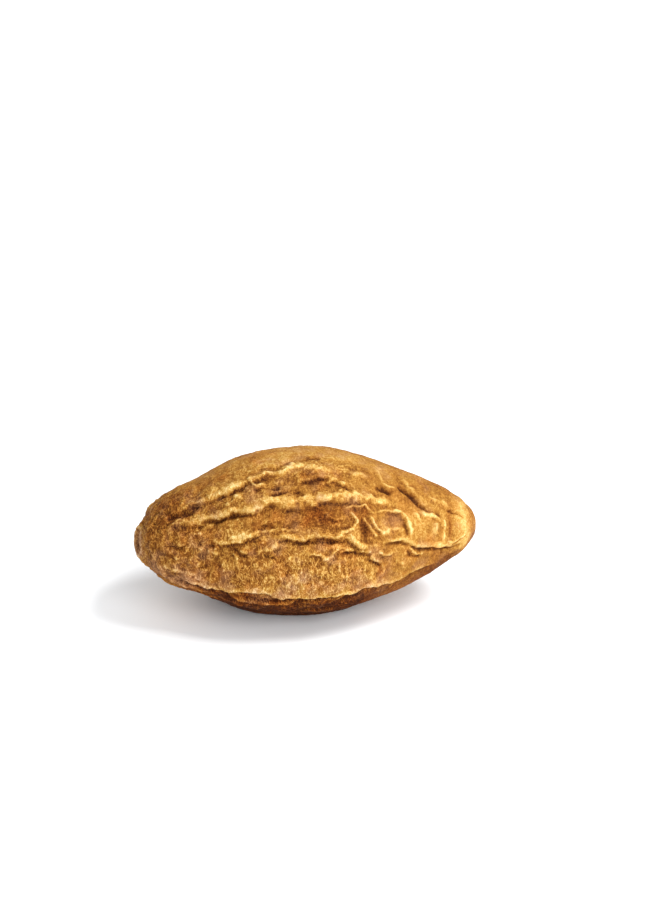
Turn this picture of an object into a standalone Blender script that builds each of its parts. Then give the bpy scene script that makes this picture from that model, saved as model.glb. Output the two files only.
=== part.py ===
"""Dried haritaki fruit, lying on its side.

The fruit grew as one piece, so it is one closed solid. Its axis lies along X with
the stem scar at -X and the tip at +X, it rests on a small flat spot on Z = 0, and
the origin is on the ground under the middle of its length.

A point of the skin is found from its place along the axis, x in millimetres from
the middle, and its angle round the axis in degrees: 0 faces the front (-Y), 90 is
the top, 180 the back and -90 the underside. The skin starts as a spindle. Broad
forms, crests with a fold under them, thin rims and creases are laid on it along
drawn lines, and the back and underside get theirs from a seeded rule.
"""
import itertools
import math
import random

import bmesh
import bpy
import numpy as np

MM = 0.001

# Driving dimensions of the spindle, in millimetres
LENGTH = 36.0
GIRTH = 18.2
AXIS_HEIGHT = 8.7
TIP_TAPER = 0.22
WAIST_PLACE = -12.0
WAIST_DEPTH = 0.11
WAIST_SPREAD = 3.6

# Grid of the skin, closer round the front than round the back
RINGS = 53
POINTS_ROUND = 110
CLOSER_AT = 35.0
CLOSER_BY = 0.25

# Broad ribs and hollows: (place, angle), spreads along and round, height
BROAD_FORMS = (
    ((-18, 0), (1.5, 3.0), -0.30),
    ((-17, 100), (3.0, 2.2), -0.45),
    ((-11, 118), (4.0, 2.5), -0.05),
    ((-17.3, 125), (1.3, 3.0), -0.20),
    ((-16.5, -62), (3.0, 2.2), -0.30),
    ((-4, -62), (11, 2.4), -0.60),
    ((9.5, -62), (4.5, 2.4), 0.25),
    ((-2, -12), (13, 2.4), 0.14),
    ((-1, -42), (10, 2.0), -0.30),
    ((0, 184), (40, 2.4), 0.50),
    ((0, 145), (40, 2.2), -0.20),
    ((0, 232), (40, 2.4), 0.30),
    ((1.2, 35), (2.4, 1.0), -0.24),
    ((-4.5, 33), (2.4, 0.7), -0.15),
    ((-4.6, 68), (1.2, 0.5), -0.16),
    ((5.4, 27), (0.5, 1.4), -0.28),
    ((8.6, 34.5), (0.9, 0.8), -0.24),
    ((10.0, 73), (0.8, 0.9), -0.20),
    ((12.5, 24), (2.2, 1.8), 0.20),
    ((16.3, 22), (1.3, 3.0), 0.12),
)

# Crests: step at the edge, how far the skin above and below bends with it, then the line
CRESTS = (
    (0.34, 1.2, 0.9, (
        (-14.6, 57), (-13.2, 60.5), (-12, 63), (-10.6, 62), (-9.8, 64), (-9.1, 63.5), (-8.4, 64),
        (-7.9, 65.5), (-7.2, 66), (-6.8, 67.5), (-6.1, 67.5),
    )),
    (0.32, 1.3, 1.2, (
        (-1.4, 62), (-0.6, 63.5), (0, 64), (0.5, 65.8), (1, 66), (1.6, 66), (2.4, 65.5), (3.4, 65.5),
    )),
    (0.44, 0.9, 0.9, (
        (-14.7, 41), (-14.2, 43), (-13.4, 44), (-12.6, 42.5), (-12, 42), (-11.4, 43), (-10.9, 44.5),
        (-10.4, 44.5), (-9.8, 44), (-9.2, 44.5), (-8.7, 45), (-8.2, 47), (-7.6, 46), (-7.1, 45),
        (-6.6, 44.5), (-6, 44), (-5.7, 45.3), (-5.2, 45.3), (-4.85, 47.5), (-4.3, 48.5), (-3.4, 48),
        (-2.4, 46.5),
    )),
    (0.24, 0.8, 1.3, (
        (-4.2, 46.5), (-3.2, 45.5), (-2.2, 44.5), (-1, 44.5), (0, 46), (1, 47.5), (2, 48), (3, 48),
        (4, 48.3), (5.4, 48), (6.6, 46.5),
    )),
    (0.34, 0.6, 0.8, (
        (-10.2, 22), (-9.4, 22), (-8.7, 22.5), (-8, 23), (-7.4, 24), (-6.9, 25.2), (-6.3, 27),
        (-5.8, 28), (-5.2, 28.5),
    )),
    (0.46, 0.6, 1.2, (
        (-4.1, 24), (-3.4, 25), (-2.8, 25.3), (-2.3, 24.3), (-1.7, 22.8), (-1.2, 22.8), (-0.7, 24),
        (-0.1, 25.3), (0.5, 25.3), (1.3, 24.3), (2.1, 23), (2.9, 22.7), (3.7, 23),
    )),
    (0.30, 0.5, 0.9, (
        (3.5, 23.5), (3.75, 21.5), (3.95, 19), (4.3, 16.7), (4.7, 15), (5.2, 13.4), (5.9, 12.5),
    )),
    (0.40, 0.8, 0.8, (
        (7.2, 14.8), (8, 16.2), (8.9, 16.5), (9.7, 15), (10.3, 12), (10.7, 8.3), (11.7, 4.6),
        (12.3, 2.4), (13, 0.8), (13.8, -1.7), (14.5, -4.2), (15.1, -7.2), (15.9, -12),
    )),
    (0.26, 1.2, 1.0, (
        (9.5, 74), (10.1, 70), (10.7, 65.5), (11.2, 60), (11.6, 55), (12, 51), (12.5, 47.5),
    )),
    (0.50, 0.7, 0.7, (
        (-15.3, -17.5), (-14.2, -20), (-13.4, -20.5), (-12.7, -22), (-12, -23.5), (-11.1, -23),
        (-10.3, -20), (-9, -18.7), (-8, -16.7), (-6.9, -15.5), (-5.4, -14.5), (-4.8, -15.5),
        (-4.2, -17.5), (-3.5, -19), (-2.8, -19), (-1.7, -19.5), (-0.7, -21), (0.3, -19.5),
        (1.4, -19.5), (2.4, -19.5), (3.5, -20.5), (4.2, -21), (4.9, -19.5), (5.8, -19.5),
        (6.7, -21.5), (7.4, -23), (8.2, -24.5), (9, -25), (10, -23.5), (11, -21.5), (12, -23),
        (13, -26), (14.3, -28),
    )),
    (0.44, 0.5, 0.8, (
        (-9.3, -19.5), (-9, -21), (-8.7, -23.5), (-8.3, -25), (-7.9, -27), (-7.3, -27.5),
        (-6.6, -27), (-5.7, -26), (-4.8, -26), (-3.8, -26), (-2.9, -26), (-2.1, -24), (-1.2, -21.5),
    )),
    (0.24, 0.5, 0.8, (
        (-15.3, -26), (-13.8, -30.5), (-12.7, -32.5), (-12, -34), (-11.4, -35), (-10.3, -34),
        (-9.6, -36), (-9, -38), (-8.3, -38), (-7.7, -39), (-7, -41), (-5.8, -42), (-4, -41),
    )),
)

# Raised rims and ridges: height, half width, then the line
RIMS = (
    (0.16, 0.36, (
        (-6.3, 72), (-5.5, 70.5), (-5.1, 71), (-4.7, 72), (-4.4, 74), (-3.9, 73.5), (-3.2, 72),
    )),
    (0.24, 0.55, (
        (-4, 71), (-2.9, 72), (-2.2, 74), (-1.5, 76), (-0.8, 76.5), (0, 75.5), (0.8, 73.5), (1.5, 72),
        (2.6, 71.5),
    )),
    (0.21, 0.36, ((1.8, 61.8), (2.2, 63.6), (2.6, 64), (3, 62.5), (3.5, 61), (4.2, 59.8))),
    (0.10, 0.40, ((2.4, 77), (3.4, 75.5), (4.4, 73), (5.4, 72), (6.6, 73))),
    (0.10, 0.36, (
        (9.6, 84), (10.2, 79), (10.6, 74), (10.9, 69.5), (11.3, 64), (11.8, 58.5), (12.5, 53),
    )),
    (0.14, 0.36, ((-8.8, 51.5), (-8.5, 54.5), (-8.1, 57), (-7.6, 57.5), (-7, 56))),
    (0.22, 0.46, (
        (-5.6, 48.5), (-5, 50), (-4.5, 51.3), (-4.1, 51.7), (-3.6, 50.3), (-3, 49), (-2, 48.5),
        (-1, 48.7), (0, 49.3), (1, 50.5), (2, 51), (3, 52.3), (4, 52.5), (5, 52.5), (6, 51.5),
        (6.6, 50), (7.4, 49.5), (8.2, 49.5), (9.2, 48.5), (10.4, 46.5),
    )),
    (0.13, 0.36, ((-8.9, 26), (-8.2, 27.5), (-7.3, 27.8), (-6.5, 28.5), (-5.6, 29))),
    (0.22, 0.36, (
        (3.8, 41), (4.1, 39), (4.35, 37), (4.6, 34.5), (4.6, 32), (4.3, 29.5), (3.7, 27.3), (2.9, 26),
        (2.2, 24.6),
    )),
    (0.21, 0.36, (
        (3.1, 43), (3.9, 44), (4.6, 44), (5.05, 44), (5.3, 45.3), (5.6, 45.5), (6, 42.8), (6.3, 40.4),
        (6.9, 39.6),
    )),
    (0.12, 0.36, ((6.8, 26.5), (7.4, 24.5), (8, 26), (8.6, 27.3), (9.1, 26), (9.5, 23))),
    (0.24, 0.36, ((9.3, 42), (9.85, 37.5), (10.1, 33), (10.3, 28.5), (10.4, 24), (10.5, 17))),
    (0.13, 0.36, ((11.4, 44.5), (12.3, 39.7), (13, 38.5), (13.9, 35.5))),
    (0.16, 0.36, ((14.15, 36), (14.2, 28), (14.15, 18), (14, 7))),
    (0.10, 0.36, ((13.2, 32), (13.1, 25), (13, 15))),
    (0.19, 0.36, ((10.1, 10), (10.4, 5.5), (10.7, 1.5), (11, -2.3), (11.4, -3.2), (11.9, -2.4))),
    (0.14, 0.36, ((-5.2, 19.5), (-4.8, 18), (-4.4, 18.5), (-4, 20), (-3.7, 22.5))),
    (0.14, 0.36, ((-10.9, 16), (-10.2, 14.8), (-9.5, 14.3))),
    (0.11, 0.36, ((-16, -10), (-14.5, -9), (-13, -10), (-11.5, -12))),
)

# Creases: depth, half width, then the line
CREASES = (
    (0.19, 0.36, (
        (7.2, 13), (8, 14.5), (8.9, 15), (9.7, 13.3), (10.3, 10), (10.7, 6), (11.7, 2.6), (12.3, 0.4),
        (13, -1.2), (13.8, -4), (14.5, -6.8), (15.1, -10), (15.9, -15.5), (16.6, -13),
    )),
    (0.21, 0.36, (
        (9.2, 70), (9.8, 66.5), (10.4, 63), (10.9, 59), (11.3, 54.5), (11.7, 50.5), (12.1, 47.3),
        (12.5, 44.7), (13, 43.5), (13.6, 40.7), (14.3, 40.7),
    )),
    (0.19, 0.36, ((13.9, 52), (14.6, 49), (15.2, 46.5), (16, 44.5), (16.7, 40))),
    (0.11, 0.36, (
        (-5.3, 76.5), (-4.6, 78), (-3.9, 77), (-3.2, 76.5), (-2.8, 78), (-2.2, 80.5), (-1.5, 82.5),
    )),
    (0.10, 0.36, ((-1.9, 82), (-0.8, 84), (0, 84.5), (0.8, 85), (1.6, 83))),
    (0.19, 0.36, ((-15, 52), (-14.2, 52.5), (-13.2, 52.5), (-12.4, 52.5), (-11.8, 56), (-11.3, 59))),
    (0.21, 0.36, (
        (-9.7, 62.5), (-9.1, 61.5), (-8.2, 62), (-7.7, 64.3), (-7.1, 64), (-6.7, 66.5), (-6, 66),
    )),
    (0.18, 0.36, ((-5.8, 59), (-5.3, 60), (-4.6, 60), (-3.8, 59.3), (-3, 59.8))),
    (0.21, 0.36, ((-4.5, 54.7), (-3.8, 54.2), (-2.8, 55.5), (-2.2, 55.7), (-1.6, 55), (-0.7, 54.6))),
    (0.21, 0.36, (
        (-1.1, 61.3), (-0.6, 62.3), (0, 62.7), (0.4, 64.4), (1, 64.8), (1.6, 64.8), (2.3, 64),
    )),
    (0.21, 0.36, ((2.6, 61.3), (3.1, 59.5), (3.6, 57.8), (4.1, 57))),
    (0.22, 0.36, ((6.8, 61.7), (7.5, 61.5), (8.1, 60.5), (8.8, 57.8))),
    (0.22, 0.36, (
        (-11.1, 41.3), (-10.4, 41.3), (-9.9, 40.3), (-9.2, 41.3), (-8.6, 42.3), (-7.8, 43),
        (-7.2, 42.3), (-6.4, 43),
    )),
    (0.18, 0.36, ((-12.4, 36.8), (-11.6, 38), (-10.8, 39.3))),
    (0.18, 0.36, (
        (-2.6, 20.8), (-1.8, 20.5), (-1, 20.2), (0, 20.5), (1, 20), (2, 19.3), (3, 19.3), (3.6, 19.5),
        (3.9, 17.5), (4.3, 15.2), (4.7, 13.6), (5.2, 12.3),
    )),
    (0.19, 0.36, ((2.9, 12), (3.6, 11.3), (4.2, 11), (4.95, 9), (5.6, 7.5), (6.2, 6))),
    (0.19, 0.36, ((5.5, 4.8), (6.1, 2.3), (6.6, -0.5), (7, -3.5), (7.3, -9))),
    (0.16, 0.36, ((-8.5, 18.7), (-7.8, 16), (-7.4, 13.5), (-6.8, 12.3))),
    (0.16, 0.36, ((9.85, 30.5), (9.9, 25), (10, 19))),
    (0.13, 0.36, ((-12, 22), (-11.3, 21), (-10.6, 20), (-10, 19.5))),
)

# Low swellings all over: height, bump sizes in millimetres along and across
SWELLING_HEIGHT = 0.09
SWELLING_GRAIN = (3.0, 1.3, 1.3)

# Hidden side: the middle angle of each long crest that the seeded rule draws there
HIDDEN_CRESTS = (143, 160, 177, 194, 211, 229, 247, 264)
HIDDEN_WRINKLES = 70
SEED = 41

# Stem scar: which way it faces, and its size
SCAR_FACING = (-0.985, -0.150, 0.080)
SCAR_CUT = 0.30
SCAR_RADIUS = 1.45
SCAR_DEPTH = 0.16
SCAR_RIM = 0.12

# Calm patch that touches the ground
CALM_PATCH_LONG = 7.5
CALM_PATCH_ROUND = 24.0


def ease(low, high, value):
    """Rise smoothly from 0 at low to 1 at high."""
    t = np.clip((value - low) / (high - low), 0.0, 1.0)
    return t * t * (3.0 - 2.0 * t)


def spindle_radius(x):
    """Radius of the plain spindle at x."""
    half = LENGTH / 2
    ellipse = np.sqrt(np.clip(1 - (x / half) ** 2, 0, 1))
    taper = 1 - TIP_TAPER * ease(0, 15, x)
    waist = WAIST_DEPTH * np.exp(-((x - WAIST_PLACE) / WAIST_SPREAD) ** 2)
    return GIRTH / 2 * ellipse * (taper - waist)


OUTLINE = -LENGTH / 2 * np.cos(np.linspace(0, math.pi, 4001))
OUTLINE_RADIUS = spindle_radius(OUTLINE)
OUTLINE_RUN = np.concatenate(([0], np.cumsum(np.hypot(np.diff(OUTLINE), np.diff(OUTLINE_RADIUS)))))


def run_to(x):
    """Length of skin from the stem end to x, along the outline."""
    return np.interp(x, OUTLINE, OUTLINE_RUN)


def turn(degrees):
    """Bring an angle between -180 and 180 degrees."""
    return (degrees + 180.0) % 360.0 - 180.0


def noise(places, grain, seed):
    """Smooth noise between about -1 and 1, with bumps of about the grain's size."""
    slopes = np.random.default_rng(seed).normal(size=(32, 32, 32, 3))
    spot = places / np.array(grain) + 100.0
    cell = np.floor(spot).astype(int)
    part = spot - cell
    blend = part ** 3 * (part * (part * 6 - 15) + 10)
    total = np.zeros(len(places))
    for corner in itertools.product((0, 1), repeat=3):
        at = (cell + corner) % 32
        slope = slopes[at[:, 0], at[:, 1], at[:, 2]]
        weight = np.prod(np.where(corner, blend, 1 - blend), axis=1)
        total += weight * ((part - corner) * slope).sum(1)
    return total


def smooth_line(points, steps=6):
    """Curve through the points, as an array of (x, angle), smooth at each of them."""
    knots = np.array(points, dtype=float)
    padded = np.vstack((2 * knots[0] - knots[1], knots, 2 * knots[-1] - knots[-2]))
    t = np.linspace(0, 1, steps, endpoint=False)[:, None]
    pieces = []
    for before, start, end, after in zip(padded, padded[1:], padded[2:], padded[3:]):
        bend = 2 * before - 5 * start + 4 * end - after
        twist = 3 * (start - end) + after - before
        pieces.append(start + 0.5 * t * (end - before + t * (bend + t * twist)))
    return np.vstack(pieces + [knots[-1:]])


def fade(along, ends=0.14):
    """Full height along a line, dying away at both ends."""
    return ease(0, ends, along) * ease(0, ends, 1 - along)


class Skin:
    """The skin's points on their grid, with the relief laid on them."""

    def __init__(self):
        length = np.hypot(np.gradient(OUTLINE), np.gradient(OUTLINE_RADIUS))
        even = np.linspace(0, OUTLINE_RUN[-1], RINGS + 2)[1:-1]
        self.run = np.repeat(even, POINTS_ROUND)
        self.x = np.interp(self.run, OUTLINE_RUN, OUTLINE)
        even_angle = np.arange(POINTS_ROUND) * 2 * math.pi / POINTS_ROUND
        closer = CLOSER_BY * np.sin(even_angle - math.radians(CLOSER_AT))
        self.angle = np.tile(np.degrees(even_angle - closer), RINGS)
        self.radius = spindle_radius(self.x)
        self.lean = np.interp(self.run, OUTLINE_RUN, -np.gradient(OUTLINE_RADIUS) / length)
        self.rise = np.interp(self.run, OUTLINE_RUN, np.gradient(OUTLINE) / length)
        self.places = self.around(self.x, self.radius)
        self.height = np.zeros(len(self.x))

    def around(self, x, radius):
        theta = np.radians(self.angle)
        return np.column_stack((x, -radius * np.cos(theta), radius * np.sin(theta)))

    def patch(self, middle, spread):
        """A soft spot, 1 at its middle, with its spreads in millimetres along and round."""
        along = (self.run - run_to(middle[0])) / spread[0]
        around = self.radius * np.radians(turn(self.angle - middle[1])) / spread[1]
        return np.exp(-along ** 2 - around ** 2)

    def near_line(self, points, reach):
        """Skin points within reach of a line: which, how far to its left, how far along it."""
        line = smooth_line(points)
        middle = line[:, 1].mean()
        radius = spindle_radius(line[:, 0])
        knots = np.column_stack((run_to(line[:, 0]), radius * np.radians(line[:, 1] - middle)))
        here = np.column_stack((self.run, self.radius * np.radians(turn(self.angle - middle))))
        inside = (here > knots.min(0) - reach) & (here < knots.max(0) + reach)
        which = np.flatnonzero(inside.all(1))
        start = knots[:-1]
        run = knots[1:] - start
        offset = here[which, None, :] - start[None, :, :]
        share = np.clip((offset * run).sum(2) / (run * run).sum(1), 0, 1)
        gap = offset - share[:, :, None] * run
        length = np.hypot(gap[:, :, 0], gap[:, :, 1])
        nearest = length.argmin(1)
        row = np.arange(len(which))
        side = run[nearest, 0] * offset[row, nearest, 1] - run[nearest, 1] * offset[row, nearest, 0]
        along = (nearest + share[row, nearest]) / len(run)
        return which, length[row, nearest] * np.where(side < 0, -1, 1), along

    def add_broad_forms(self):
        for middle, spread, rise in BROAD_FORMS:
            self.height += rise * self.patch(middle, spread)

    def add_crest(self, step, above, below, points):
        """An edge that the skin swells up to from above, with a steep drop into a fold below it."""
        which, across, along = self.near_line(points, 3 * max(above, below))
        waver = np.clip(1 + 0.6 * noise(self.places[which], 1.6, 5), 0.6, 1.3) * fade(along)
        lip = 0.6 * step * np.exp(-np.abs(across) / above)
        foot = -0.4 * step * np.exp(-np.abs(across + 0.3) / below)
        share = ease(-0.5, 0.15, across)
        self.height[which] += (share * lip + (1 - share) * foot) * waver

    def add_line(self, height, width, points):
        """A thin raised or sunk line."""
        which, across, along = self.near_line(points, 4 * width)
        waver = np.clip(1 + 0.9 * noise(self.places[which], 1.1, 9), 0.4, 1.5)
        self.height[which] += height * waver * fade(along) * np.exp(-(across / width) ** 2)

    def add_lines(self):
        for step, above, below, points in CRESTS + hidden_crests():
            self.add_crest(step, above, below, points)
        for rise, width, points in RIMS + hidden_wrinkles():
            self.add_line(rise, width, points)
        for depth, width, points in CREASES:
            self.add_line(-depth, width, points)

    def add_swellings(self):
        calm = 0.7 * self.patch((1, 102), (11, 3.6)) + 0.75 * ease(10, 14, self.x)
        self.height += SWELLING_HEIGHT * np.clip(1 - calm, 0.15, 1) * noise(self.places, SWELLING_GRAIN, 72)

    def settle(self):
        """Calm the patch that touches the ground, and the relief at the very ends."""
        round_ground = turn(self.angle + 90) / CALM_PATCH_ROUND
        resting = np.exp(-(self.x / CALM_PATCH_LONG) ** 4 - round_ground ** 4)
        self.height *= (1 - resting) * ease(-1.2, 2.0, self.radius)

    def add_scar(self, places):
        """Cut the stem end flat, sink the round scar a little and raise its rim."""
        facing = np.array(SCAR_FACING)
        reach = places @ facing
        beyond = np.maximum(reach - reach.max() + SCAR_CUT, 0)
        middle = places[reach.argmax()]
        off = np.linalg.norm(places - middle - np.outer(reach - reach.max(), facing), axis=1)
        stem_end = 1 - ease(-15, -14, self.x)
        inside = stem_end * (1 - ease(0.6 * SCAR_RADIUS, SCAR_RADIUS, off))
        rim = stem_end * np.exp(-((off - 1.05 * SCAR_RADIUS) / 0.35) ** 2)
        return places + np.outer(SCAR_RIM * rim - SCAR_DEPTH * inside - beyond, facing)

    def final_places(self):
        """Places of the points in millimetres, sitting on the ground."""
        places = self.around(self.x + self.height * self.lean, self.radius + self.height * self.rise)
        places = self.add_scar(places)
        places[:, 2] = np.maximum(places[:, 2] + AXIS_HEIGHT, 0)
        return places


def hidden_crests():
    """Long broken crests of the back and underside, with short ones across between them."""
    draw = random.Random(SEED)
    crests = []
    for middle in HIDDEN_CRESTS:
        start = draw.uniform(-16.5, -14.0)
        stop = draw.uniform(12.0, 15.5)
        while start < stop - 3.0:
            end = min(start + draw.uniform(7.0, 16.0), stop)
            drift = draw.uniform(-3.0, 3.0)
            stations = np.linspace(start, end, max(4, int((end - start) / 1.3)))
            points = [(station, middle + drift + draw.uniform(-3.0, 3.0)) for station in stations]
            step = draw.uniform(0.3, 0.55)
            crests.append((step, draw.uniform(0.7, 1.3), draw.uniform(0.7, 1.2), points))
            start = end - draw.uniform(0.5, 2.5)
        for _ in range(2):
            place = draw.uniform(-13.0, 13.0)
            lean = draw.uniform(-1.2, 1.5)
            bridge = [(place, middle), (place + lean, middle + 8), (place + 0.5 * lean, middle + 17)]
            crests.append((draw.uniform(0.15, 0.28), 0.6, 0.6, bridge))
    return tuple(crests)


def hidden_wrinkles():
    """Short thin rims scattered over the back and underside, most of them lengthwise."""
    draw = random.Random(SEED + 1)
    rims = []
    for _ in range(HIDDEN_WRINKLES):
        place = draw.uniform(-14.5, 14.5)
        angle = draw.uniform(126, 268)
        heading = draw.choice((draw.uniform(-0.5, 0.5), draw.uniform(-0.5, 0.5), draw.uniform(1.0, 2.1)))
        points = []
        for _ in range(4):
            points.append((place, angle))
            place += draw.uniform(0.5, 1.1) * math.cos(heading)
            angle += draw.uniform(4, 8) * math.sin(heading)
            heading += draw.uniform(-0.6, 0.6)
        rims.append((draw.uniform(0.12, 0.22), draw.uniform(0.32, 0.42), points))
    return tuple(rims)


def build_skin():
    """One closed mesh: a point at each end and rings between them."""
    skin = Skin()
    skin.add_broad_forms()
    skin.add_lines()
    skin.add_swellings()
    skin.settle()
    places = skin.final_places()
    mesh = bmesh.new()
    stem = mesh.verts.new(places[:POINTS_ROUND].mean(0) * MM)
    points = [mesh.verts.new(place * MM) for place in places]
    tip = mesh.verts.new(places[-POINTS_ROUND:].mean(0) * MM)
    rings = [points[ring * POINTS_ROUND:(ring + 1) * POINTS_ROUND] for ring in range(RINGS)]
    for place in range(POINTS_ROUND):
        after = (place + 1) % POINTS_ROUND
        mesh.faces.new((stem, rings[0][place], rings[0][after]))
        mesh.faces.new((tip, rings[-1][after], rings[-1][place]))
        for ring, following in zip(rings, rings[1:]):
            mesh.faces.new((ring[place], following[place], following[after], ring[after]))
    bmesh.ops.recalc_face_normals(mesh, faces=mesh.faces)
    bmesh.ops.triangulate(mesh, faces=mesh.faces)
    data = bpy.data.meshes.new("haritaki_fruit")
    mesh.to_mesh(data)
    mesh.free()
    return data


def skin_material():
    """Dull golden tan of the dried skin."""
    material = bpy.data.materials.new("dried_skin")
    material.use_nodes = True
    shader = material.node_tree.nodes["Principled BSDF"]
    shader.inputs["Base Color"].default_value = (0.40, 0.20, 0.06, 1.0)
    shader.inputs["Roughness"].default_value = 0.6
    shader.inputs["Metallic"].default_value = 0.0
    return material


def main():
    for leftover in list(bpy.data.objects):
        bpy.data.objects.remove(leftover)
    data = build_skin()
    data.materials.append(skin_material())
    data.shade_smooth()
    fruit = bpy.data.objects.new("haritaki_fruit", data)
    bpy.context.scene.collection.objects.link(fruit)


main()
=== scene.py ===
"""Looks of the dried haritaki fruit: its fine skin, the finish of it, floor, light and camera.

Places on the skin are given as in the part: millimetres along the axis from the
middle, and degrees round it, with 0 at the front, 90 on top and -90 underneath.
"""
import itertools
import math
import random

import bpy
import numpy as np
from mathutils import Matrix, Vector


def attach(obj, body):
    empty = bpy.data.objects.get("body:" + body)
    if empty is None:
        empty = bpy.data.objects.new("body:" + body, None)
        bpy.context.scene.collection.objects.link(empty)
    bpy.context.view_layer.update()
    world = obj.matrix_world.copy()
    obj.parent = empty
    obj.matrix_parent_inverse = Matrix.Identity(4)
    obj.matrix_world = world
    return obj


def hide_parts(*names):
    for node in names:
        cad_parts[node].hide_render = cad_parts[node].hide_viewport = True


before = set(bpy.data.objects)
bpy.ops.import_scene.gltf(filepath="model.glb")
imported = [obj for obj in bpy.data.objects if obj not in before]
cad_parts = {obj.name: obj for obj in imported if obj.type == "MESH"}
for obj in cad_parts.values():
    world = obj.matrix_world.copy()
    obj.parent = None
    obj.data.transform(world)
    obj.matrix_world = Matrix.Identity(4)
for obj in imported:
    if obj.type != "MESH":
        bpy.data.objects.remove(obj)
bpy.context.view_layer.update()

MM = 0.001
FRUIT = "haritaki_fruit"

# Spindle, the same as the part's, in millimetres
LENGTH = 36.0
GIRTH = 18.2
AXIS_HEIGHT = 8.7
TIP_TAPER = 0.22
WAIST_PLACE = -12.0
WAIST_DEPTH = 0.11
WAIST_SPREAD = 3.6

# Grid of the fine skin, closer round the front than round the back
RINGS = 315
POINTS_ROUND = 316
CLOSER_AT = 35.0
CLOSER_BY = 0.40

# Noise: cells in its table each way, and a shift that keeps its places above 0
NOISE_CELLS = 32
NOISE_SHIFT = 100.0

# Broad ribs and hollows: (place, angle), spreads along and round, height
BROAD_FORMS = (
    ((-18, 0), (1.5, 3.0), -0.30),
    ((-17, 100), (3.0, 2.2), -0.45),
    ((-11, 118), (4.0, 2.5), -0.05),
    ((-17.3, 125), (1.3, 3.0), -0.20),
    ((-16.5, -62), (3.0, 2.2), -0.30),
    ((-4, -62), (11, 2.4), -0.60),
    ((9.5, -62), (4.5, 2.4), 0.25),
    ((-2, -12), (13, 2.4), 0.14),
    ((-1, -42), (10, 2.0), -0.30),
    ((0, 184), (40, 2.4), 0.50),
    ((0, 145), (40, 2.2), -0.20),
    ((0, 232), (40, 2.4), 0.30),
    ((1.2, 35), (2.4, 1.0), -0.24),
    ((-4.5, 33), (2.4, 0.7), -0.15),
    ((-4.6, 68), (1.2, 0.5), -0.16),
    ((5.4, 27), (0.5, 1.4), -0.28),
    ((8.6, 34.5), (0.9, 0.8), -0.24),
    ((10.0, 73), (0.8, 0.9), -0.20),
    ((12.5, 24), (2.2, 1.8), 0.20),
    ((16.3, 22), (1.3, 3.0), 0.12),
)

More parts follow.
